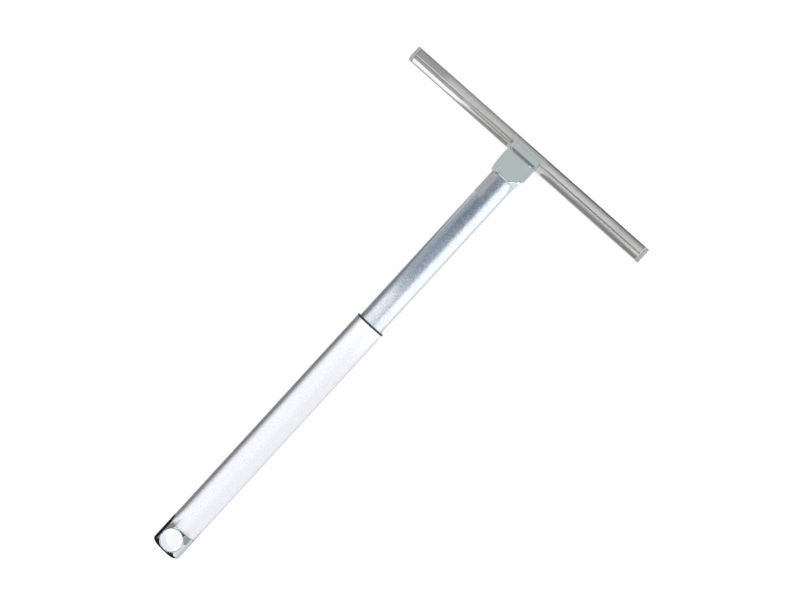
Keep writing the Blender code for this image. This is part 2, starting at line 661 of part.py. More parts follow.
def build():
    """Make every piece, each under the carrier that it moves with."""
    satin = finish("satin_aluminium_outer", 222, 224, 228, 1.0, 0.3)
    grained = finish("grained_aluminium_inner", 188, 194, 204, 1.0, 0.35)
    nylon_dark = finish("black_nylon", 44, 46, 48, 0.0, 0.5)
    nylon_pale = finish("natural_nylon", 226, 224, 214, 0.0, 0.5)
    chrome = finish("chromed_zinc", 214, 220, 224, 1.0, 0.06)
    brushed = finish("brushed_stainless_channel", 192, 191, 187, 1.0, 0.32)
    steel = finish("screw_steel", 170, 170, 168, 1.0, 0.25)
    spring = finish("spring_steel", 150, 152, 156, 1.0, 0.3)
    silicone = finish("frosted_silicone", 224, 228, 230, 0.0, 0.45)
    moulded = finish("grey_moulded_cap", 200, 202, 203, 0.0, 0.3)

    fixed = empty("outer_handle")
    outer = tube("outer_tube", outer_half, outer_bore, outer_foot_y, mouth_y, satin, fixed)
    mouth_bush(nylon_dark, fixed)
    cap = end_cap(chrome, fixed)
    place = (0, seam_y + CAP_SCREW_FROM_SEAM)
    screw("cap_screw", place, ground_z, SCREW_LENGTH, steel, fixed, [outer, cap])

    sliding = empty("sliding_head")
    inner = tube("inner_tube", inner_half, inner_bore, bush_foot_y, inner_top_y, grained, sliding)
    plug = slider_plug(nylon_pale, sliding)
    friction_spring("friction_spring_front", 1, spring, sliding)
    friction_spring("friction_spring_back", -1, spring, sliding)
    pin_y = slider_top_y + PIN_FROM_SHOULDER
    cross_pin("slider_pin", pin_y, PIN_DIAMETER / 2, inner_half.x - PIN_SUNK, steel, sliding)
    pin_hole = cross_pin("pin_hole", pin_y, PIN_DIAMETER / 2 + FIT, inner_half.x + PAST, None, sliding)
    cut(inner, pin_hole)
    cut(plug, pin_hole)

    anchor_rings = [oval(plug_half, head_foot_y, LEAD_IN), oval(plug_half, head_foot_y + LEAD_IN)]
    anchor_rings.append(oval(plug_half, inner_top_y))
    anchor = loft("tube_anchor", anchor_rings, nylon_pale, sliding)
    head = head_connector(chrome, sliding)
    place = (0, head_foot_y + HEAD_SCREW_FROM_FOOT)
    screw("head_screw", place, -head_half_depth, SCREW_LENGTH, steel, sliding, [head, inner, anchor])
    jaw = head_jaw(chrome, sliding)
    jaw_screw_y = (jaw_start_y + head_end_y) / 2
    for name, side in (("jaw_screw_left", -1), ("jaw_screw_right", 1)):
        place = (side * JAW_SCREW_SPACING / 2, jaw_screw_y)
        screw(name, place, jaw_foot_z, JAW_SCREW_LENGTH, steel, sliding, [jaw, head])

    blade_channel(brushed, sliding)
    blade_rubber(silicone, sliding)
    channel_cap("channel_cap_left", -1, moulded, sliding)
    channel_cap("channel_cap_right", 1, moulded, sliding)


for old in list(bpy.data.objects):
    bpy.data.objects.remove(old)
build()
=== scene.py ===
"""Telescopic shower squeegee on a white studio floor: its finishes, fine surfaces, light and camera."""
import math

import bmesh
import bpy
from mathutils import Matrix, Vector


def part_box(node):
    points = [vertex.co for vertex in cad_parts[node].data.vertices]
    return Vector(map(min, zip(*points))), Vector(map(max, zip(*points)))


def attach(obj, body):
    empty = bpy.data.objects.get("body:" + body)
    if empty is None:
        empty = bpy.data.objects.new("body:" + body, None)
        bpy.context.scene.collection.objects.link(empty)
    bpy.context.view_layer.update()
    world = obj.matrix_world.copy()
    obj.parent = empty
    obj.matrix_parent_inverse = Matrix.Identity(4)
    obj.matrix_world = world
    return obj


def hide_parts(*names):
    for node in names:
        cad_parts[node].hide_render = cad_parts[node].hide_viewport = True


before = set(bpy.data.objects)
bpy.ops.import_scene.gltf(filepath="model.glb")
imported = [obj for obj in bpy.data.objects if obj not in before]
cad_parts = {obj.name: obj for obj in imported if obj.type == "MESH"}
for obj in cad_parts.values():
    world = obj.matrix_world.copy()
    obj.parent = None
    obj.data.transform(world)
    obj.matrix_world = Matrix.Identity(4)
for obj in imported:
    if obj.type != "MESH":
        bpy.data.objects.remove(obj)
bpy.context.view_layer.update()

MM = 0.001

# Clearances that the solids leave: FIT round a piece that slides or plugs in, SEAT between resting faces
FIT = 0.15 * MM
SEAT = 0.3 * MM

# How far a cutter reaches past the piece that it cuts
PAST = 4.0 * MM

# Points round each ring, and steps along each kind of curved stretch
OVAL_POINTS = 192
EYE_POINTS = 192
SCREW_POINTS = 48
EDGE_STEPS = 4
LIP_EDGE_STEPS = 5
RIM_STEPS = 8
CROWN_STEPS = 12
CORNER_STEPS = 20
BARREL_STEPS = 40

# Faces that meet at more than this get a sharp edge between them
SHARP_ANGLE = math.radians(32)

# A corner of a path stays as it is below this turn in radians, and an offset one keeps this radius
LEAST_TURN = 1e-4
LEAST_RADIUS = 0.1 * MM

# Sections of the handle and of the head: flattened ovals, squarer where their power is higher
OVAL_POWER = 2.5
HEAD_POWER = 7.0
HEAD_FOOT_POWER = 3.0
HEAD_BLEND = 7.0 * MM

# Walls of the tubes, the round edge of their mouths and the flange of the guide bush
OUTER_WALL = 1.0 * MM
INNER_WALL = 0.9 * MM
MOUTH_EDGE = 0.25 * MM
FLANGE_LENGTH = 1.3 * MM

# End cap
EYE_DIAMETER = 18.4 * MM
EYE_FROM_FOOT = 12.3 * MM
EYE_RIM = 1.0 * MM
CAP_CORNER = 3.2 * MM
CAP_CROWN = 0.8 * MM
CAP_FLAT_SHARE = 0.3
SPIGOT_LEAD = 0.6 * MM

# Head and its lip over the channel
HEAD_EDGE = 1.0 * MM
HEAD_SHOULDER = 4.0 * MM
HEAD_FOOT_NARROWER = 2.2 * MM
HEAD_TOP_NARROWER = 0.4 * MM
HEAD_WIDEST_FROM_FOOT = 15.0 * MM
HEAD_OVER_CHANNEL = 2.4 * MM
LIP_WIDER = 0.6 * MM
LIP_THICKNESS = 1.6 * MM
LIP_DROP = 1.75 * MM
LIP_CORNER = 3.0 * MM
LIP_EDGE = 0.35 * MM
JAW_NOSE = 1.6 * MM
JAW_ROUND = 0.5 * MM
JAW_EDGE = 0.25 * MM

# Blade channel, its caps and the silicone blade
CHANNEL_WALL = 0.9 * MM
CHANNEL_FALL = 0.25 * MM
CHANNEL_FLANK = 4.0 * MM
CHANNEL_FAR_EDGE = 1.5 * MM
CHANNEL_UNDER_EDGE = 1.6 * MM
CHANNEL_HEM = 1.6 * MM
CHANNEL_HEM_ROUND = 1.0 * MM
GROOVE_FROM_NEAR = 6.0 * MM
GROOVE_WIDTH = 1.1 * MM
GROOVE_DEPTH = 0.45 * MM
NECK_THICKNESS = 1.8 * MM
BULB_WIDTH = 6.0 * MM
BULB_ROUND = 1.6 * MM
SHOULDER_WIDTH = 3.6 * MM
SHOULDER_HEIGHT = 1.1 * MM
BLADE_ROOT = 1.7 * MM
BLADE_TIP = 1.0 * MM
RUBBER_EDGE = 0.3 * MM
BLADE_LEAN = math.radians(38)
CHANNEL_CAP_EDGE = 0.7 * MM

# Countersunk screws
SCREW_SHANK = 2.9 * MM
SCREW_HEAD = 5.0 * MM
SCREW_RIM = 0.25 * MM
SCREW_RECESS = 0.9 * MM
RECESS_REACH = 1.4 * MM
RECESS_ARM = 0.32 * MM

# Boxes of the solids that the pieces below take their place and size from
outer_low, outer_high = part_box("outer_tube")
inner_low, inner_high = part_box("inner_tube")
cap_low, cap_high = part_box("end_cap")
bush_low, bush_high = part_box("mouth_bush")
head_low, head_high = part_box("head_connector")
jaw_low, jaw_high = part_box("head_jaw")
channel_low, channel_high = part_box("blade_channel")
rubber_low, rubber_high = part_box("blade_rubber")

# Heights are modelled over the handle's axis, and each piece is lifted to it at the end
axis_z = (outer_low.z + outer_high.z) / 2
ground_z = outer_low.z - axis_z


def half_section(low, high, inset=0.0):
    """Half width and half depth of a box, less a wall."""
    return Vector(((high.x - low.x) / 2 - inset, (high.z - low.z) / 2 - inset))


outer_half = half_section(outer_low, outer_high)
outer_bore = half_section(outer_low, outer_high, OUTER_WALL)
inner_half = half_section(inner_low, inner_high)
inner_bore = half_section(inner_low, inner_high, INNER_WALL)
sleeve_bore = half_section(inner_low, inner_high, -FIT)
spigot_half = half_section(outer_low, outer_high, OUTER_WALL + FIT)
head_half_depth = (head_high.z - head_low.z) / 2
head_half_width = head_high.x + HEAD_TOP_NARROWER / 2 - LIP_WIDER / 2
seam_y = outer_low.y - SEAT
eye_y = cap_low.y + EYE_FROM_FOOT
crease_y = channel_low.y + HEAD_OVER_CHANNEL
head_end_y = channel_low.y - SEAT
lip_top_z = head_half_depth - LIP_DROP
channel_top_z = channel_high.z - axis_z
channel_foot_z = channel_low.z - axis_z
slot_y = (channel_low.y + channel_high.y) / 2


# Mesh tools


def quarter(steps):
    """Angles from 0 to 90 degrees in equal steps."""
    return [math.pi / 2 * step / steps for step in range(steps + 1)]


def shade(mesh):
    """Smooth shading, broken where two faces meet at more than the sharp angle."""
    mesh.shade_smooth()
    mesh.set_sharp_from_angle(angle=SHARP_ANGLE)


def flatten(piece):
    """Let large faces set the normals at corners, so that a flat face beside a round edge shades flat."""
    even = piece.modifiers.new("flat_faces", "WEIGHTED_NORMAL")
    even.keep_sharp = True


def solid(name, bm):
    """Turn a closed bmesh about the axis into an object at the axis's height."""
    bmesh.ops.translate(bm, verts=bm.verts, vec=(0, 0, axis_z))
    bmesh.ops.recalc_face_normals(bm, faces=bm.faces)
    mesh = bpy.data.meshes.new(name)
    bm.to_mesh(mesh)
    bm.free()
    shade(mesh)
    made = bpy.data.objects.new(name, mesh)
    bpy.context.scene.collection.objects.link(made)
    return made


def loft(name, rings, closed=False):
    """Bridge rings of equal count. An open loft gets a cap at each end; a closed one meets itself."""
    bm = bmesh.new()
    loops = [[bm.verts.new(point) for point in ring] for ring in rings]
    pairs = list(zip(loops, loops[1:]))
    if closed:
        pairs.append((loops[-1], loops[0]))
    for lower, upper in pairs:
        for i in range(len(lower)):
            j = (i + 1) % len(lower)
            bm.faces.new((lower[i], lower[j], upper[j], upper[i]))
    if not closed:
        bm.faces.new(loops[0])
        bm.faces.new(loops[-1])
    return solid(name, bm)


def prism(name, outline, start_x, end_x):
    """A (y, z) outline run along x."""
    return loft(name, [[(x, y, z) for y, z in outline] for x in (start_x, end_x)])


def oval(half, y, inset=0.0, shrink=1.0, power=OVAL_POWER):
    """A ring across the handle, whose outermost points lie at the half sizes."""
    reach = math.cos(math.pi / OVAL_POINTS) ** (2 / power)
    width = (half.x - inset) * shrink / reach
    depth = (half.y - inset) * shrink / reach
    ring = []
    for i in range(OVAL_POINTS):
        angle = 2 * math.pi * (i + 0.5) / OVAL_POINTS
        across = math.copysign(abs(math.cos(angle)) ** (2 / power), math.cos(angle))
        up = math.copysign(abs(math.sin(angle)) ** (2 / power), math.sin(angle))
        ring.append((width * across, y, depth * up))
    return ring


def eased(half, end_y, into, radius):
    """Rings of a rounded outer edge, from the end face at end_y. The piece lies on side into, 1 or -1."""
    rings = []
    for angle in quarter(EDGE_STEPS):
        y = end_y + into * radius * (1 - math.cos(angle))
        rings.append(oval(half, y, radius * (1 - math.sin(angle))))
    return rings


def circle(centre, radius, height, count):
    """A ring about a vertical axis through centre, an (x, y) point."""
    angles = [2 * math.pi * i / count for i in range(count)]
    return [(centre[0] + radius * math.cos(a), centre[1] + radius * math.sin(a), height) for a in angles]


def turn_corner(before, corner, after, radius, steps):
    """Points of the arc that rounds one corner of a path."""
    into = (corner - before).normalized()
    out = (after - corner).normalized()
    turn = math.atan2(into.x * out.y - into.y * out.x, into.dot(out))
    if radius <= 0 or abs(turn) < LEAST_TURN:
        return [corner]
    start = corner - into * radius * math.tan(abs(turn) / 2)
    side = math.copysign(1, turn)
    centre = start + Vector((-into.y, into.x)) * side * radius
    spoke = start - centre
    return [centre + Matrix.Rotation(turn * k / steps, 2) @ spoke for k in range(steps + 1)]


def rounded(corners, closed=True, steps=12):
    """A path through (y, z, radius) corners, each rounded to its radius."""
    spots = [Vector(corner[:2]) for corner in corners]
    path = []
    for i, (spot, corner) in enumerate(zip(spots, corners)):
        if not closed and i in (0, len(spots) - 1):
            path.append(spot)
            continue
        path += turn_corner(spots[i - 1], spot, spots[(i + 1) % len(spots)], corner[2], steps)
    return path


def offset(corners, distance, closed=True):
    """Move every side of a path to its left by distance, with the radii of its corners to match."""
    spots = [Vector(corner[:2]) for corner in corners]
    moved = []
    for i, (spot, corner) in enumerate(zip(spots, corners)):
        into = (spot - spots[i - 1]).normalized()
        out = (spots[(i + 1) % len(spots)] - spot).normalized()
        if not closed and i == 0:
            into = out
        if not closed and i == len(spots) - 1:
            out = into
        turn = math.atan2(into.x * out.y - into.y * out.x, into.dot(out))
        mitre = (Vector((-into.y, into.x)) + Vector((-out.y, out.x))).normalized()
        landed = spot + mitre * distance / math.cos(turn / 2)
        radius = corner[2] and max(corner[2] - math.copysign(distance, turn * distance), LEAST_RADIUS)
        moved.append((landed.x, landed.y, radius))
    return moved


def settle(piece):
    """Apply a piece's modifiers to its mesh."""
    depsgraph = bpy.context.evaluated_depsgraph_get()
    mesh = bpy.data.meshes.new_from_object(piece.evaluated_get(depsgraph))
    piece.modifiers.clear()
    piece.data = mesh
    shade(mesh)
    return piece


def combine(piece, operation, *others):
    """Cut other solids out of a piece, or weld them to it, and use them up."""
    for other in others:
        modifier = piece.modifiers.new(other.name, "BOOLEAN")
        modifier.operation = operation
        modifier.solver = "EXACT"
        modifier.object = other
    settle(piece)
    for other in others:
        bpy.data.objects.remove(other)
    return piece


def soften(piece, width, angle=50, segments=3):
    """Round the edges that are sharper than angle, in degrees."""
    bevel = piece.modifiers.new("edges", "BEVEL")
    bevel.width = width
    bevel.segments = segments
    bevel.limit_method = "ANGLE"
    bevel.angle_limit = math.radians(angle)
    return settle(piece)


# Finishes

# Between these values lies most of a noise pattern
PATTERN_LOW = 0.3
PATTERN_HIGH = 0.7


def colour(code):
    """An sRGB hex colour as linear values."""
    levels = [int(code[i:i + 2], 16) / 255 for i in (1, 3, 5)]
    return [v / 12.92 if v <= 0.04045 else ((v + 0.055) / 1.055) ** 2.4 for v in levels] + [1]


def add(tree, kind, inputs=None, **settings):
    """Add a node with its settings, and give its sockets values or links."""
    node = tree.nodes.new(kind)
    for name, value in settings.items():
        setattr(node, name, value)
    for name, value in (inputs or {}).items():
        if isinstance(value, bpy.types.NodeSocket):
            tree.links.new(value, node.inputs[name])
        else:
            node.inputs[name].default_value = value
    return node


def new_finish(name, **sockets):
    """A material with its shader's constants set. Gives the material, its tree and the shader."""
    material = bpy.data.materials.new(name)
    material.use_nodes = True
    shader = material.node_tree.nodes["Principled BSDF"]
    for socket, value in sockets.items():
        shader.inputs[socket.replace("_", " ")].default_value = value
    return material, material.node_tree, shader


def pattern(tree, size_mm, detail=2.0, stretch=(1, 1, 1)):
    """Noise with grains of about size_mm, drawn out along each axis by stretch."""
    spot = add(tree, "ShaderNodeTexCoord").outputs["Object"]
    scale = [1 / (size_mm * MM * longer) for longer in stretch]
    spot = add(tree, "ShaderNodeMapping", {"Vector": spot, "Scale": scale}).outputs["Vector"]
    settings = {"Vector": spot, "Scale": 1.0, "Detail": detail, "Roughness": 0.5}
    return add(tree, "ShaderNodeTexNoise", settings).outputs["Fac"]


def spread(tree, value, low, high):
    """Map a pattern to a range of values."""
    settings = {"Value": value, "From Min": PATTERN_LOW, "From Max": PATTERN_HIGH}
    settings.update({"To Min": low, "To Max": high})
    return add(tree, "ShaderNodeMapRange", settings).outputs["Result"]


def tint(tree, value, dark, light):
    """Run a pattern between two sRGB colours."""
    share = spread(tree, value, 0, 1)
    mixed = add(tree, "ShaderNodeMix", data_type="RGBA")
    tree.links.new(share, mixed.inputs["Factor"])
    mixed.inputs["A"].default_value = colour(dark)
    mixed.inputs["B"].default_value = colour(light)
    return [socket for socket in mixed.outputs if socket.type == "RGBA"][0]


def relief(tree, shader, height, depth_mm):
    """Bump of a real depth."""
    bump = add(tree, "ShaderNodeBump", {"Height": height, "Distance": depth_mm * MM, "Strength": 1.0})
    tree.links.new(bump.outputs["Normal"], shader.inputs["Normal"])


def around(tree, shader, axis):
    """Spread what metal mirrors round an axis, across the lines that drawing or brushing leave along it."""
    tangent = add(tree, "ShaderNodeTangent", direction_type="RADIAL", axis=axis)
    tree.links.new(tangent.outputs["Tangent"], shader.inputs["Tangent"])


def satin_anodised_aluminium():
    """Drawn tube, etched and clear anodised: pale silver, whose silky grain softens what it mirrors.
    Its real grain and draw lines are about 0.1 mm wide; they are drawn as wide as they need to show."""
    material, tree, shader = new_finish("satin_anodised_aluminium", Metallic=1.0, Anisotropic=0.9)
    grain = pattern(tree, size_mm=0.9, detail=3)
    streaks = pattern(tree, size_mm=0.7, stretch=(1, 40, 1))
    tree.links.new(tint(tree, grain, "#d9dbe0", "#e5e7ec"), shader.inputs["Base Color"])
    tree.links.new(spread(tree, streaks, 0.17, 0.23), shader.inputs["Roughness"])
    relief(tree, shader, grain, depth_mm=0.006)
    around(tree, shader, "Y")
    return material


def blasted_anodised_aluminium():
    """Drawn tube, bead blasted and anodised: a cooler silver, whose small pits catch the light and sparkle.
    Real pits are about 0.1 mm wide; they are drawn 1 mm wide, so that they show."""
    material, tree, shader = new_finish("blasted_anodised_aluminium", Metallic=1.0, Anisotropic=0.9)
    pits = pattern(tree, size_mm=1.0, detail=2)
    coarse = pattern(tree, size_mm=2.4, detail=1)
    tree.links.new(tint(tree, pits, "#abb0b7", "#c1c5cc"), shader.inputs["Base Color"])
    tree.links.new(spread(tree, coarse, 0.16, 0.2), shader.inputs["Roughness"])
    relief(tree, shader, pits, depth_mm=0.012)
    around(tree, shader, "Y")
    return material


def polished_chrome():
    """Bright chrome on polished zinc: a cool mirror, with the faint sway that hand polishing leaves."""
    material, tree, shader = new_finish("polished_chrome", Metallic=1.0)
    shader.inputs["Base Color"].default_value = colour("#c9d4d6")
    film = pattern(tree, size_mm=6.0, detail=4)
    tree.links.new(spread(tree, film, 0.03, 0.07), shader.inputs["Roughness"])
    sway = pattern(tree, size_mm=9.0, detail=0)
    relief(tree, shader, sway, depth_mm=0.02)
    return material


def brushed_stainless():
    """Stainless strip brushed along its length: warm grey, with scratches that spread light sideways.
    Real scratches are about 0.05 mm wide; they are drawn 0.35 mm wide, so that they show."""
    material, tree, shader = new_finish("brushed_stainless", Metallic=1.0, Anisotropic=0.7)
    scratches = pattern(tree, size_mm=0.35, detail=3, stretch=(60, 1, 1))
    tree.links.new(tint(tree, scratches, "#bdbdbb", "#cdcdcb"), shader.inputs["Base Color"])
    tree.links.new(spread(tree, scratches, 0.19, 0.26), shader.inputs["Roughness"])
    relief(tree, shader, scratches, depth_mm=0.008)
    around(tree, shader, "X")
    return material


def frosted_silicone():
    """Extruded silicone: milky and soft, with die lines along it and light inside its thin lip.
    Real die lines are about 0.1 mm wide; they are drawn 0.5 mm wide, so that they show."""
    material, tree, shader = new_finish(
        "frosted_silicone",
        IOR=1.41,
        Transmission_Weight=0.35,
        Subsurface_Weight=0.3,
        Subsurface_Scale=2 * MM,
    )
    lines = pattern(tree, size_mm=0.5, stretch=(80, 1, 1))
    tree.links.new(tint(tree, lines, "#dfe3e4", "#eceff0"), shader.inputs["Base Color"])
    tree.links.new(spread(tree, lines, 0.42, 0.52), shader.inputs["Roughness"])
    relief(tree, shader, lines, depth_mm=0.01)
    return material


def moulded_grey_polypropylene():
    """Injection-moulded polypropylene: plain pale grey, with a fine spark-eroded texture.
    Its real grit is about 0.1 mm; it is drawn 0.4 mm wide, so that it shows."""
    material, tree, shader = new_finish("moulded_grey_polypropylene", IOR=1.49)
    texture = pattern(tree, size_mm=0.4, detail=3)
    tree.links.new(tint(tree, texture, "#a6a7a6", "#b2b3b2"), shader.inputs["Base Color"])
    tree.links.new(spread(tree, texture, 0.3, 0.42), shader.inputs["Roughness"])
    relief(tree, shader, texture, depth_mm=0.01)
    return material


def black_glass_filled_nylon():
    """Moulded nylon with glass fibre: near black and dull, with faint flow marks."""
    material, tree, shader = new_finish("black_glass_filled_nylon", IOR=1.53)
    flow = pattern(tree, size_mm=0.8, detail=4)
    tree.links.new(tint(tree, flow, "#292b2d", "#37393b"), shader.inputs["Base Color"])
    tree.links.new(spread(tree, flow, 0.45, 0.6), shader.inputs["Roughness"])
    relief(tree, shader, flow, depth_mm=0.01)
    return material


def natural_nylon():
    """Undyed moulded nylon: ivory and waxy, with a soft glow at its edges."""
    material, tree, shader = new_finish(
        "natural_nylon", IOR=1.53, Subsurface_Weight=0.25, Subsurface_Scale=2 * MM
    )
    flow = pattern(tree, size_mm=1.5, detail=3)
    tree.links.new(tint(tree, flow, "#dcdacf", "#e8e6dc"), shader.inputs["Base Color"])
    tree.links.new(spread(tree, flow, 0.42, 0.55), shader.inputs["Roughness"])
    return material


def turned_stainless():
    """Machine screws and pins in plain stainless: grey, with fine turning marks.
    Real marks are about 0.05 mm apart; they are drawn 0.3 mm wide, so that they show."""
    material, tree, shader = new_finish("turned_stainless", Metallic=1.0)
    marks = pattern(tree, size_mm=0.3, detail=2)
    tree.links.new(tint(tree, marks, "#b4b4b1", "#c4c4c1"), shader.inputs["Base Color"])
    tree.links.new(spread(tree, marks, 0.2, 0.32), shader.inputs["Roughness"])
    relief(tree, shader, marks, depth_mm=0.005)
    return material


def tempered_spring_steel():
    """Rolled and tempered strip: a darker grey, with rolling lines along it.
    Real lines are about 0.05 mm wide; they are drawn 0.3 mm wide, so that they show."""
    material, tree, shader = new_finish("tempered_spring_steel", Metallic=1.0)
    lines = pattern(tree, size_mm=0.3, stretch=(1, 30, 1))
    tree.links.new(tint(tree, lines, "#8f9195", "#a3a5a9"), shader.inputs["Base Color"])
    tree.links.new(spread(tree, lines, 0.25, 0.35), shader.inputs["Roughness"])
    return material


# Pieces


def place(piece, body, node, material):
    """Dress a piece, tie it to its body and let it stand in for its solid."""
    flatten(piece)
    piece.data.materials.clear()
    piece.data.materials.append(material)
    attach(piece, body)
    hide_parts(node)


def screw_place(node):
    """Where a screw stands: its (x, y) place, the height of its head's face and that of its tip."""
    low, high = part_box(node)
    return ((low.x + high.x) / 2, (low.y + high.y) / 2), low.z - axis_z, high.z - axis_z


def screw_rings(node, grown=0.0):
    """Rings of a countersunk screw that points up, or of its hole when grown."""
    centre, foot_z, tip_z = screw_place(node)
    head = SCREW_HEAD / 2 + grown
    shank = SCREW_SHANK / 2 + grown
    levels = [(head, foot_z - (PAST if grown else 0)), (head, foot_z + SCREW_RIM)]
    levels.append((shank, foot_z + SCREW_RIM + head - shank))
    if grown:
        levels.append((shank, tip_z + grown))
    else:
        levels += [(shank, tip_z - shank / 2), (shank / 2, tip_z)]
    return [circle(centre, radius, z, SCREW_POINTS) for radius, z in levels]


def screw_hole(node):
    """Cutter for a screw's clearance hole, open past its head."""
    return loft(node + "_hole", screw_rings(node, FIT))


def screw(name, node):
    """A countersunk screw with a cross recess."""
    (x, y), foot_z, tip_z = screw_place(node)
    made = loft(name, screw_rings(node))
    for along, across in ((RECESS_REACH, RECESS_ARM), (RECESS_ARM, RECESS_REACH)):
        outline = [(y - across, foot_z - PAST), (y + across, foot_z - PAST)]
        outline += [(y + across, foot_z + SCREW_RECESS), (y - across, foot_z + SCREW_RECESS)]
        combine(made, "DIFFERENCE", prism("recess", outline, x - along, x + along))
    return made


def drilled_tube(name, low, high, half, bore, screw_node):
    """A tube from one y to another, with both mouths eased and a screw's hole in its back."""
    rings = eased(half, low, 1, MOUTH_EDGE) + eased(half, high, -1, MOUTH_EDGE)[::-1]
    rings += [oval(bore, high), oval(bore, low)]
    return combine(loft(name, rings, closed=True), "DIFFERENCE", screw_hole(screw_node))


def outer_tube():
    """The wide tube, which is the grip."""
    low, high = outer_low.y, outer_high.y
    return drilled_tube("satin_outer_tube", low, high, outer_half, outer_bore, "cap_screw")


def inner_tube():
    """The narrower tube, which slides."""
    low, high = inner_low.y, inner_high.y
    return drilled_tube("grained_inner_tube", low, high, inner_half, inner_bore, "head_screw")


def mouth_bush():
    """Guide bush: a thin sleeve in the outer tube, and a flange with a round edge on its mouth."""
    flange = half_section(bush_low, bush_high)
    low, high = bush_low.y, bush_high.y
    flange_y = high - FLANGE_LENGTH
    rings = [oval(spigot_half, low), oval(spigot_half, flange_y), oval(flange, flange_y)]
    rings += eased(flange, high, -1, MOUTH_EDGE)[::-1]
    rings += [oval(sleeve_bore, high), oval(sleeve_bore, low)]
    return loft("guide_bush", rings, closed=True)


def cap_inset(y):
    """How far the end cap's surface lies inside the handle's oval, over its round foot corner."""
    into = min(max(cap_low.y + CAP_CROWN + CAP_CORNER - y, 0), CAP_CORNER)
    return CAP_CORNER - math.sqrt(CAP_CORNER ** 2 - into ** 2)


def cap_height(x, y):
    """Height of the end cap's face over the axis."""
    half = outer_half - Vector((cap_inset(y), cap_inset(y)))
    return half.y * (1 - (abs(x) / half.x) ** OVAL_POWER) ** (1 / OVAL_POWER)


def eye_bore():
    """Cutter for the hanging eye: a round bore, whose rims flare by a quarter round along the face."""
    flare = [(EYE_RIM * (1 - math.sin(a)), -EYE_RIM * (1 - math.cos(a))) for a in quarter(RIM_STEPS)]
    levels = [(EYE_RIM, PAST)] + flare
    rings = []
    for side, order in ((-1, levels), (1, levels[::-1])):
        for wider, over in order:
            ring = circle((0, eye_y), EYE_DIAMETER / 2 + wider, 0, EYE_POINTS)
            rings.append([(x, y, side * (cap_height(x, y) + over)) for x, y, _ in ring])
    return loft("eye_bore", rings)


def end_cap():
    """Chromed cap with the hanging eye and the spigot that plugs into the outer tube."""
    rings = []
    for k in range(CROWN_STEPS):
        share = CAP_FLAT_SHARE + (1 - CAP_FLAT_SHARE) * k / CROWN_STEPS
        y = cap_low.y + CAP_CROWN * (k / CROWN_STEPS) ** 2
        rings.append(oval(outer_half, y, CAP_CORNER, share))
    corner_y = cap_low.y + CAP_CROWN
    for angle in quarter(CORNER_STEPS):
        y = corner_y + CAP_CORNER * (1 - math.cos(angle))
        rings.append(oval(outer_half, y, cap_inset(y)))
    straight = seam_y - corner_y - CAP_CORNER
    for k in range(1, BARREL_STEPS + 1):
        rings.append(oval(outer_half, seam_y - straight * (1 - k / BARREL_STEPS)))
    rings += [oval(spigot_half, seam_y), oval(spigot_half, cap_high.y - SPIGOT_LEAD)]
    rings.append(oval(spigot_half, cap_high.y, SPIGOT_LEAD))
    cap = loft("chromed_end_cap", rings)
    return combine(cap, "DIFFERENCE", eye_bore(), screw_hole("cap_screw"))


def head_width_at(y):
    """Half width of the head's barrel at a distance y from its foot."""
    if y < HEAD_WIDEST_FROM_FOOT:
        swell = math.sin(math.pi / 2 * y / HEAD_WIDEST_FROM_FOOT)
        return head_half_width - HEAD_FOOT_NARROWER / 2 * (1 - swell)
    past = (y - HEAD_WIDEST_FROM_FOOT) / (crease_y - head_low.y - HEAD_WIDEST_FROM_FOOT)
    return head_half_width - HEAD_TOP_NARROWER / 2 * past ** 2


def head_power_at(y):
    """The head's section runs from an oval like the tube's at its foot to a box with round edges."""
    share = min(y / HEAD_BLEND, 1)
    return HEAD_FOOT_POWER + (HEAD_POWER - HEAD_FOOT_POWER) * (1 - math.cos(math.pi * share)) / 2


def head_body():
    """The head's body: a round edge at its foot, a barrel, and a shoulder that falls to the crease."""
    length = crease_y - head_low.y
    # Each level is its distance from the foot, then how far its sides, front and back are drawn in
    levels = []
    for angle in quarter(RIM_STEPS):
        inset = HEAD_EDGE * (1 - math.sin(angle))
        levels.append((HEAD_EDGE * (1 - math.cos(angle)), inset, inset, inset))
    barrel = length - HEAD_SHOULDER - HEAD_EDGE
    levels += [(HEAD_EDGE + barrel * k / BARREL_STEPS, 0, 0, 0) for k in range(1, BARREL_STEPS + 1)]
    fall = LIP_DROP + LIP_THICKNESS / 2
    for angle in quarter(CORNER_STEPS)[1:]:
        levels.append((length - HEAD_SHOULDER * (1 - math.sin(angle)), 0, fall * (1 - math.cos(angle)), 0))
    rings = []
    for y, side, front, back in levels:
        # The ring is 1 deep each way, and is then stretched to the height of its front and of its back
        ring = oval(Vector((head_width_at(y) - side, 1.0)), head_low.y + y, power=head_power_at(y))
        heights = (head_half_depth - front, head_half_depth - back)
        rings.append([(x, ring_y, up * heights[0 if up > 0 else 1]) for x, ring_y, up in ring])
    return loft("chromed_head", rings)


def head_lip():
    """The lip over the channel: a plate with two round corners and a round top edge."""
    half = head_half_width - HEAD_TOP_NARROWER / 2 + LIP_WIDER / 2
    root_y = crease_y - HEAD_SHOULDER / 2
    corners = [(LIP_WIDER - half, root_y, 0), (half - LIP_WIDER, root_y, 0), (half, crease_y, 0)]
    corners += [(half, head_high.y, LIP_CORNER), (-half, head_high.y, LIP_CORNER), (-half, crease_y, 0)]
    outline = rounded(corners)
    levels = [(0, channel_top_z)]
    for angle in quarter(LIP_EDGE_STEPS):
        levels.append((LIP_EDGE * (1 - math.cos(angle)), lip_top_z - LIP_EDGE * (1 - math.sin(angle))))
    rings = []
    for inset, z in levels:
        shares = (1 - inset / half, 1 - inset / (head_high.y - root_y))
        rings.append([(x * shares[0], root_y + (y - root_y) * shares[1], z) for x, y in outline])
    return loft("lip", rings)


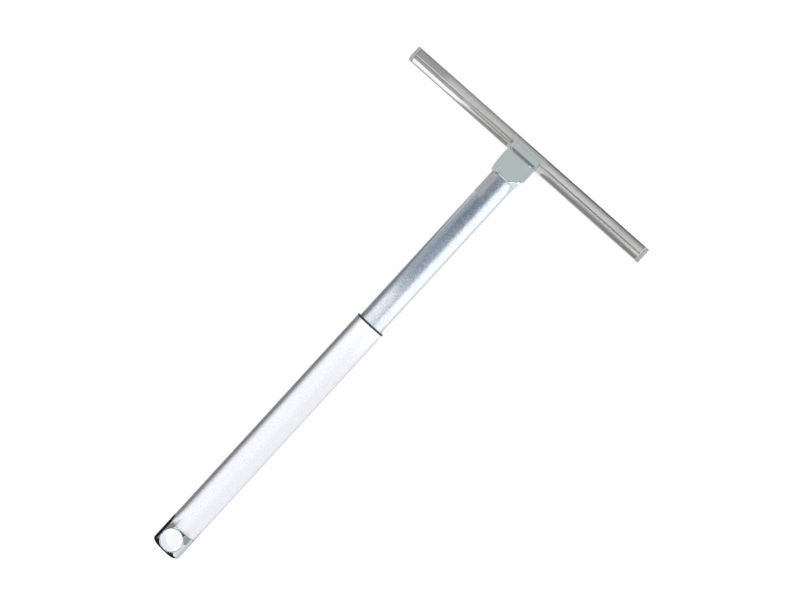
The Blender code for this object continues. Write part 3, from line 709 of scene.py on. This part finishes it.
def head_connector():
    """Chromed casting, cut to seat the tube, the channel and the jaw."""
    top_z = channel_top_z + SEAT
    far_y = channel_high.y + PAST
    foot_z = ground_z - PAST
    wide = head_half_width + PAST
    corners = [(head_end_y, foot_z, 0), (head_end_y, top_z, CHANNEL_FLANK + SEAT)]
    corners += [(far_y, top_z, 0), (far_y, foot_z, 0)]
    rabbet = prism("rabbet", rounded(corners), -wide, wide)
    socket_end = inner_high.y + SEAT
    socket = loft("socket", [oval(sleeve_bore, y) for y in (head_low.y - PAST, socket_end)])
    start = jaw_low.y - FIT
    half = (jaw_high.x - jaw_low.x) / 2 + FIT
    outline = [(start, foot_z), (start, channel_foot_z), (far_y, channel_foot_z), (far_y, foot_z)]
    recess = prism("recess", outline, -half, half)
    head = combine(head_body(), "UNION", head_lip())
    return combine(head, "DIFFERENCE", rabbet, socket, recess, screw_hole("head_screw"))


def head_jaw():
    """Wedge-nosed jaw in the head's back, which reaches under the channel."""
    foot_z, top_z = jaw_low.z - axis_z, jaw_high.z - axis_z
    corners = [
        (jaw_low.y, foot_z, JAW_ROUND),
        (jaw_low.y, top_z, JAW_ROUND),
        (jaw_high.y, top_z, JAW_ROUND),
        (jaw_high.y, top_z - JAW_NOSE, JAW_ROUND),
        (head_end_y, foot_z, JAW_ROUND),
    ]
    jaw = prism("chromed_jaw", rounded(corners, steps=6), jaw_low.x, jaw_high.x)
    soften(jaw, JAW_EDGE)
    return combine(jaw, "DIFFERENCE", screw_hole("jaw_screw_left"), screw_hole("jaw_screw_right"))


def channel_corners():
    """The channel's outside as (y, z, radius) corners: up its near wall, over its face and down again."""
    return [
        (channel_low.y, channel_foot_z, CHANNEL_UNDER_EDGE),
        (channel_low.y, channel_top_z, CHANNEL_FLANK),
        (channel_high.y, channel_top_z - CHANNEL_FALL, CHANNEL_FAR_EDGE),
        (channel_high.y, channel_foot_z, CHANNEL_UNDER_EDGE),
    ]


def blade_channel():
    """Rolled channel: the strip goes from one hem of the slot, round the outside, to the other hem."""
    groove_y = channel_low.y + GROOVE_FROM_NEAR
    foot, near, far, end = channel_corners()
    slot_half = NECK_THICKNESS / 2 + SEAT
    hems = [slot_y - slot_half, slot_y + slot_half]
    corners = [
        (hems[0], channel_foot_z + CHANNEL_HEM, 0),
        (hems[0], channel_foot_z, CHANNEL_HEM_ROUND),
        foot,
        near,
        (groove_y - GROOVE_WIDTH / 2, channel_top_z, GROOVE_DEPTH / 2),
        (groove_y, channel_top_z - GROOVE_DEPTH, GROOVE_DEPTH / 2),
        (groove_y + GROOVE_WIDTH / 2, channel_top_z, GROOVE_DEPTH / 2),
        far,
        end,
        (hems[1], channel_foot_z, CHANNEL_HEM_ROUND),
        (hems[1], channel_foot_z + CHANNEL_HEM, 0),
    ]
    outside = rounded(corners, closed=False)
    inside = rounded(offset(corners, -CHANNEL_WALL, closed=False), closed=False)
    return prism("brushed_channel", outside + inside[::-1], channel_low.x, channel_high.x)


def blade_rubber():
    """Silicone blade in one outline: bulb, neck, shoulder and the lip that leans away from the handle."""
    neck, bulb, shoulder = NECK_THICKNESS / 2, BULB_WIDTH / 2, SHOULDER_WIDTH / 2
    bulb_foot = channel_foot_z + CHANNEL_HEM + SEAT
    bulb_top = rubber_high.z - axis_z
    bulb_round = min(BULB_ROUND, (bulb_top - bulb_foot) / 2 - RUBBER_EDGE)
    shoulder_top = channel_foot_z - SEAT
    shoulder_foot = shoulder_top - SHOULDER_HEIGHT
    square = Vector((math.cos(BLADE_LEAN), math.sin(BLADE_LEAN)))
    tip_z = ground_z + square.y * BLADE_TIP / 2
    tip_y = slot_y + (shoulder_foot - tip_z) * math.tan(BLADE_LEAN)
    root = BLADE_ROOT / 2 / square.x
    corners = [
        (slot_y - neck, bulb_foot, 0),
        (slot_y - bulb, bulb_foot, bulb_round),
        (slot_y - bulb, bulb_top, bulb_round),
        (slot_y + bulb, bulb_top, bulb_round),
        (slot_y + bulb, bulb_foot, bulb_round),
        (slot_y + neck, bulb_foot, 0),
        (slot_y + neck, shoulder_top, 0),
        (slot_y + shoulder, shoulder_top, RUBBER_EDGE),
        (slot_y + shoulder, shoulder_foot, RUBBER_EDGE),
        (slot_y + root, shoulder_foot, RUBBER_EDGE),
        (tip_y + square.x * BLADE_TIP / 2, tip_z + square.y * BLADE_TIP / 2, 0),
        (tip_y - square.x * BLADE_TIP / 2, tip_z - square.y * BLADE_TIP / 2, 0),
        (slot_y - root, shoulder_foot, RUBBER_EDGE),
        (slot_y - shoulder, shoulder_foot, RUBBER_EDGE),
        (slot_y - shoulder, shoulder_top, RUBBER_EDGE),
        (slot_y - neck, shoulder_top, 0),
    ]
    return prism("silicone_blade", rounded(corners, steps=8), rubber_low.x, rubber_high.x)


def channel_cap(name, side):
    """Cap over one open end of the channel: a plate of the channel's outline, with round edges."""
    low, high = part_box("channel_cap_left" if side < 0 else "channel_cap_right")
    outer_x = low.x if side < 0 else high.x
    inner_x = (channel_low.x if side < 0 else channel_high.x) + side * SEAT
    cap = prism(name, rounded(channel_corners()), inner_x, outer_x)
    return soften(cap, CHANNEL_CAP_EDGE, angle=60, segments=5)


def dress_hidden_pieces(nylon, steel, spring):
    """Finishes of the pieces inside the tubes, which keep their solids."""
    for node, material in (
        ("slider_plug", nylon),
        ("tube_anchor", nylon),
        ("slider_pin", steel),
        ("friction_spring_front", spring),
        ("friction_spring_back", spring),
    ):
        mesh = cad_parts[node].data
        mesh.materials.clear()
        mesh.materials.append(material)


def build_squeegee():
    """Every visible piece with its finish, on the body that it moves with."""
    chrome = polished_chrome()
    steel = turned_stainless()
    plastic = moulded_grey_polypropylene()
    fixed = "outer_handle"
    place(outer_tube(), fixed, "outer_tube", satin_anodised_aluminium())
    place(mouth_bush(), fixed, "mouth_bush", black_glass_filled_nylon())
    place(end_cap(), fixed, "end_cap", chrome)
    place(screw("countersunk_cap_screw", "cap_screw"), fixed, "cap_screw", steel)
    sliding = "sliding_head"
    place(inner_tube(), sliding, "inner_tube", blasted_anodised_aluminium())
    place(head_connector(), sliding, "head_connector", chrome)
    place(screw("countersunk_head_screw", "head_screw"), sliding, "head_screw", steel)
    place(head_jaw(), sliding, "head_jaw", chrome)
    for side in ("left", "right"):
        node = "jaw_screw_" + side
        place(screw("countersunk_" + node, node), sliding, node, steel)
    place(blade_channel(), sliding, "blade_channel", brushed_stainless())
    place(blade_rubber(), sliding, "blade_rubber", frosted_silicone())
    for side, turn in (("left", -1), ("right", 1)):
        cap = channel_cap("moulded_cap_" + side, turn)
        place(cap, sliding, "channel_cap_" + side, plastic)
    dress_hidden_pieces(natural_nylon(), steel, tempered_spring_steel())


# Studio

CAMERA_LENS_MM = 55.21
CAMERA_SENSOR_MM = 36
CAMERA_SPOT = (0.1131, 0.0715, 1.0)
CAMERA_TURN = (3.69, 5.13, 42.72)
FLOOR_SIZE = 8.0
FLOOR_GAP = 0.2 * MM
WHITE = (1, 1, 1, 1)

# Levels, where 1 is white: the floor's own grey and its glow, the fill light and the backdrop
FLOOR_GREY = 0.5
FLOOR_GLOW = 0.7
FILL = 0.75
BACKDROP = 1.0

# Heights of the lamps, of the studio's ceiling and of the cards close over the head and the blade
LAMP_HEIGHT = 1.2
CEILING_HEIGHT = 1.25
HOOD_HEIGHT = 0.1

# Along the handle: where the tubes' cards meet, where the blade's begin, and where the head's hood ends
CARD_MOUTH_Y = 0.03
CARD_BLADE_Y = 0.193
HOOD_SPLIT_Y = 0.2235

# Sides of the hood over the lip, where the blade's hoods begin
LIP_HOOD_LEFT = -0.0265
LIP_HOOD_RIGHT = 0.0068


def background_share(tree):
    """1 for the rays that see the backdrop: from the camera, mirrored, or through clear material."""
    path = add(tree, "ShaderNodeLightPath").outputs
    seen = {0: path["Is Camera Ray"], 1: path["Is Glossy Ray"]}
    share = add(tree, "ShaderNodeMath", seen, operation="MAXIMUM").outputs[0]
    seen = {0: share, 1: path["Is Transmission Ray"]}
    return add(tree, "ShaderNodeMath", seen, operation="MAXIMUM").outputs[0]


def mix(tree, share, first, second):
    """Run between two shaders by a share."""
    mixed = add(tree, "ShaderNodeMixShader", {"Fac": share})
    tree.links.new(first.outputs[0], mixed.inputs[1])
    tree.links.new(second.outputs[0], mixed.inputs[2])
    return mixed.outputs[0]


def build_world():
    """White to the eye and in the metal, and a softer white as fill light."""
    world = bpy.data.worlds.new("studio")
    bpy.context.scene.world = world
    world.use_nodes = True
    tree = world.node_tree
    tree.nodes.clear()
    fill = add(tree, "ShaderNodeBackground", {"Color": WHITE, "Strength": FILL})
    backdrop = add(tree, "ShaderNodeBackground", {"Color": WHITE, "Strength": BACKDROP})
    mixed = mix(tree, background_share(tree), fill, backdrop)
    tree.links.new(mixed, add(tree, "ShaderNodeOutputWorld").inputs["Surface"])


def panel(name, corners, shader_of):
    """A flat stage piece through its corners, which is clear from behind."""
    mesh = bpy.data.meshes.new(name)
    mesh.from_pydata(corners, [], [list(range(len(corners)))])
    made = bpy.data.objects.new(name, mesh)
    bpy.context.scene.collection.objects.link(made)
    material = bpy.data.materials.new(name)
    material.use_nodes = True
    tree = material.node_tree
    tree.nodes.clear()
    clear = add(tree, "ShaderNodeBsdfTransparent")
    back = add(tree, "ShaderNodeNewGeometry").outputs["Backfacing"]
    surface = mix(tree, back, shader_of(tree), clear)
    tree.links.new(surface, add(tree, "ShaderNodeOutputMaterial").inputs["Surface"])
    mesh.materials.append(material)
    return made


def white_floor(tree):
    """Matt white that glows for the eye and in the metal, so that it is white round a soft shadow."""
    glow = add(tree, "ShaderNodeMath", {0: background_share(tree), 1: FLOOR_GLOW}, operation="MULTIPLY")
    grey = (FLOOR_GREY, FLOOR_GREY, FLOOR_GREY, 1)
    settings = {"Base Color": grey, "Roughness": 1.0, "Specular IOR Level": 0.0}
    settings.update({"Emission Color": WHITE, "Emission Strength": glow.outputs[0]})
    return add(tree, "ShaderNodeBsdfPrincipled", settings)


def build_floor():
    """White floor under the squeegee, clear from below so that the back can be seen."""
    half = FLOOR_SIZE / 2
    corners = [(-half, -half), (half, -half), (half, half), (-half, half)]
    panel("floor", [(x, y, -FLOOR_GAP) for x, y in corners], white_floor)


def card(name, level, corners, tone="#ffffff"):
    """A card that only mirrors see, from the side on which its corners run counterclockwise. It hides the
    white backdrop there, so metal sees it as bright as its level, where the backdrop is 1."""
    look = {"Color": colour(tone), "Strength": level}
    made = panel(name, corners, lambda tree: add(tree, "ShaderNodeEmission", look))
    made.visible_camera = False
    made.visible_diffuse = False
    made.visible_transmission = False
    made.visible_shadow = False


def wall(name, level, start, end, top, end_top=None, foot=0, tone="#ffffff"):
    """An upright card from start to end, (x, y) points, seen from that line's right. Its top may slope."""
    (x0, y0), (x1, y1) = start, end
    far_top = top if end_top is None else end_top
    card(name, level, [(x1, y1, foot), (x1, y1, far_top), (x0, y0, top), (x0, y0, foot)], tone)


def ground(name, level, low, high, tone="#ffffff"):
    """A card flat on the floor between two (x, y) corners, seen from above."""
    (x0, y0), (x1, y1) = low, high
    card(name, level, [(x0, y0, 0), (x1, y0, 0), (x1, y1, 0), (x0, y1, 0)], tone)


def ceiling(name, level, low, high, height, tone="#ffffff"):
    """A card overhead between two (x, y) corners, seen from below."""
    (x0, y0), (x1, y1) = low, high
    card(name, level, [(x0, y0, height), (x0, y1, height), (x1, y1, height), (x1, y0, height)], tone)


def softbox(name, level, near, far, reach):
    """A lamp of one brightness between two edges along the handle, (x, z) points. It shines on their left.
    Metal sees its level on top of the white backdrop's."""
    lamp = bpy.data.lights.new(name, "AREA")
    lamp.shape = "RECTANGLE"
    across = Vector(far) - Vector(near)
    lamp.size = across.length
    lamp.size_y = reach[1] - reach[0]
    lamp.energy = level * math.pi * lamp.size * lamp.size_y
    made = bpy.data.objects.new(name, lamp)
    made.location = ((near[0] + far[0]) / 2, (reach[0] + reach[1]) / 2, (near[1] + far[1]) / 2)
    made.rotation_euler = (0, math.atan2(-across.y, across.x), 0)
    bpy.context.scene.collection.objects.link(made)


def light_handle():
    """Softboxes on both sides over the handle, a greyer gap near the mouth and a cool ceiling past it."""
    foot, step, end = -0.95, -0.035, 0.055
    gap = 0.084
    far_right = (1.2, 0.1)
    softbox("softbox_left_low", 0.28, (-1.33, LAMP_HEIGHT), (0.02, LAMP_HEIGHT), (foot, step))
    softbox("softbox_left_high", 0.95, (-0.85, LAMP_HEIGHT), (-gap, LAMP_HEIGHT), (step, end))
    ceiling("gap", 0.55, (-gap, step), (gap, end), LAMP_HEIGHT)
    softbox("softbox_right_low", 0.16, (0.02, LAMP_HEIGHT), far_right, (foot, step))
    softbox("softbox_right_high", 1.1, (0.1, LAMP_HEIGHT), far_right, (-0.028, 0.5))
    ceiling("over_inner_tube", 0.63, (-0.6, end), (0.12, 0.19), CEILING_HEIGHT, "#ddeeff")
    ceiling("over_inner_tube_far", 0.39, (-0.6, 0.19), (0.12, 0.5), CEILING_HEIGHT, "#d8ecff")
    ceiling("left_of_inner_tube", 0.78, (-2.4, end), (-0.6, 0.5), CEILING_HEIGHT, "#e6f0fa")


def shape_tubes():
    """Cards beside the two tubes: darker walls on their left, pale ground on their right."""
    foot = -0.2
    wall("beside_outer_tube", 0.25, (-0.03, foot), (-0.03, CARD_MOUTH_Y), 0.027)
    wall("past_outer_tube", 0.75, (-0.05, foot), (-0.05, CARD_MOUTH_Y), 0.06)
    wall("beside_inner_tube", 0.42, (-0.03, CARD_MOUTH_Y), (-0.03, 0.165), 0.038, end_top=0.006)
    ground("right_of_outer_tube", 0.95, (0.0135, -0.195), (0.05, 0.022))
    ground("right_of_inner_tube", 1.45, (0.0118, CARD_MOUTH_Y), (0.05, 0.182))


def shape_head():
    """Cards round the head: hoods over its face and its lip, and walls beside its flanks and its crease."""
    crease_start, crease_end = 0.212, 0.2168
    ceiling("over_head", 0.74, (-0.06, 0.197), (0.05, HOOD_SPLIT_Y), HOOD_HEIGHT)
    ceiling("over_head_foot", 0.74, (-0.03, 0.1885), (0.016, 0.1995), 0.03)
    ceiling("over_lip", 0.73, (LIP_HOOD_LEFT, HOOD_SPLIT_Y), (LIP_HOOD_RIGHT, 0.2295), HOOD_HEIGHT)
    ceiling("past_lip", 0.42, (LIP_HOOD_LEFT, 0.2295), (LIP_HOOD_RIGHT, 0.245), HOOD_HEIGHT)
    wall("beside_head_left", 0.74, (-0.0168, 0.165), (-0.0168, HOOD_SPLIT_Y), 0.055)
    wall("beside_crease_left", 0.34, (-0.0165, crease_start), (-0.0165, crease_end), 0.034)
    wall("beside_crease_right", 0.34, (0.0171, crease_end), (0.0171, crease_start), 0.034)
    wall("beside_head_right", 0.72, (0.0175, HOOD_SPLIT_Y), (0.0175, 0.195), 0.055)
    ground("right_of_head_foot", 1.4, (0.0125, 0.182), (0.05, 0.196))
    # Painted shade: a near-black card before the head's foot that only mirrors see, standing in for the
    # shade in the corner between the inner tube and the head
    wall("painted_shade_before_head_foot", 0.03, (-0.0135, 0.16), (-0.05, 0.16), 0.05)


def shape_blade():
    """Cards round the channel: hoods along it, walls past its far side and walls before its near side."""
    far_y = 0.27
    ceiling("over_blade_left", 0.54, (-0.19, 0.2), (-0.107, far_y), HOOD_HEIGHT)
    ceiling("over_blade_middle", 1.05, (-0.107, HOOD_SPLIT_Y), (LIP_HOOD_LEFT, far_y), HOOD_HEIGHT)
    ceiling("over_blade_right", 1.2, (LIP_HOOD_RIGHT, HOOD_SPLIT_Y), (0.09, far_y), HOOD_HEIGHT)
    ceiling("over_blade_far_right", 1.0, (0.09, HOOD_SPLIT_Y), (0.15, far_y), HOOD_HEIGHT)
    rows = ((0.246, 0.022), (0.25, 0.052), (0.254, 0.11))
    for stretch, start, end, levels in (
        ("left", -0.16, -0.033, (0.3, 0.4, 0.5)),
        ("lip", -0.033, 0.016, (0.2, 0.26, 0.36)),
        ("right", 0.016, 0.14, (0.1, 0.15, 0.25)),
    ):
        for (y, top), level in zip(rows, levels):
            wall(f"past_blade_{stretch}_{top}", level, (start, y), (end, y), top)
    ceiling("over_blade_far_edge_left", 0.45, (-0.15, 0.2229), (-0.02, 0.24), 0.028)
    ceiling("over_blade_far_edge_right", 0.22, (-0.02, 0.2229), (0.15, 0.24), 0.028)
    ceiling("past_lip_near", 0.84, (-0.018, 0.2168), (0.016, 0.2197), 0.0192)
    ceiling("past_lip_far", 0.68, (-0.018, 0.2197), (0.016, 0.2226), 0.0192)
    ceiling("over_blade_groove_left", 0.55, (-0.125, 0.2108), (-0.068, 0.2148), 0.0178)
    wall("before_blade_right", 0.38, (0.14, CARD_BLADE_Y), (0.018, CARD_BLADE_Y), 0.05)
    wall("before_blade_left", 0.38, (-0.018, CARD_BLADE_Y), (-0.09, CARD_BLADE_Y), 0.04, end_top=0)
    wall("before_blade_far_left", 1.75, (-0.08, 0.15), (-0.2, 0.15), 0.17)
    ceiling("over_blade_edge_right", 0.52, (0.022, CARD_BLADE_Y), (0.14, 0.209), 0.05)
    ceiling("over_blade_edge_left", 0.42, (-0.066, CARD_BLADE_Y), (-0.018, 0.2165), 0.05)
    # Painted shadow: a dark card on the floor under the channel's near edge that only mirrors see, standing
    # in for the floor's contact shadow in the near flank's reflection
    ground("painted_shadow_under_blade_edge", 0.25, (-0.13, 0.2), (-0.018, 0.2085))


def shape_cap():
    """Cards round the end cap: dark on its left and over its seam, pale on its right and in its eye."""
    foot, step, before = -0.26, -0.2245, -0.2247
    wall("beside_cap", 0.02, (-0.022, foot), (-0.022, -0.197), 0.019)
    wall("beside_cap_high", 0.42, (-0.032, step), (-0.032, -0.2075), 0.075, tone="#fbe8ea")
    wall("beside_cap_foot", 0.02, (-0.032, foot), (-0.032, step), 0.075)
    wall("before_cap", 0.02, (0.024, before), (-0.034, before), 0.0395, foot=0.012)
    ceiling("over_cap_seam", 0.03, (-0.0048, -0.225), (0.0173, -0.2108), 0.06)
    leaning = [
        (0.03, -0.2035, 0.018),
        (0.03, -0.2105, 0.018),
        (0.03, -0.2265, 0.092),
        (0.03, -0.2175, 0.092),
    ]
    card("beside_cap_right", 0.54, leaning, "#eef6f2")
    wall("right_of_cap_low", 0.98, (0.03, -0.206), (0.03, -0.24), 0.0178, tone="#fff4f6")
    ground("right_of_cap", 0.82, (0.0135, -0.23), (0.05, -0.195), "#fff6fa")
    ground("under_eye", 1.25, (-0.012, -0.222), (0.012, -0.197), "#fbf6ff")


def build_lights():
    """Softboxes along the handle, and cards that shape what the bright metal mirrors."""
    light_handle()
    shape_tubes()
    shape_head()
    shape_blade()
    shape_cap()


def build_camera():
    """Above the handle's right side, so that a little of every right flank shows."""
    data = bpy.data.cameras.new("camera")
    data.lens = CAMERA_LENS_MM
    data.sensor_width = CAMERA_SENSOR_MM
    camera = bpy.data.objects.new("camera", data)
    camera.location = CAMERA_SPOT
    camera.rotation_euler = [math.radians(angle) for angle in CAMERA_TURN]
    bpy.context.scene.collection.objects.link(camera)
    bpy.context.scene.camera = camera


build_squeegee()
build_world()
build_floor()
build_lights()
build_camera()
bpy.context.scene.view_settings.view_transform = "Standard"
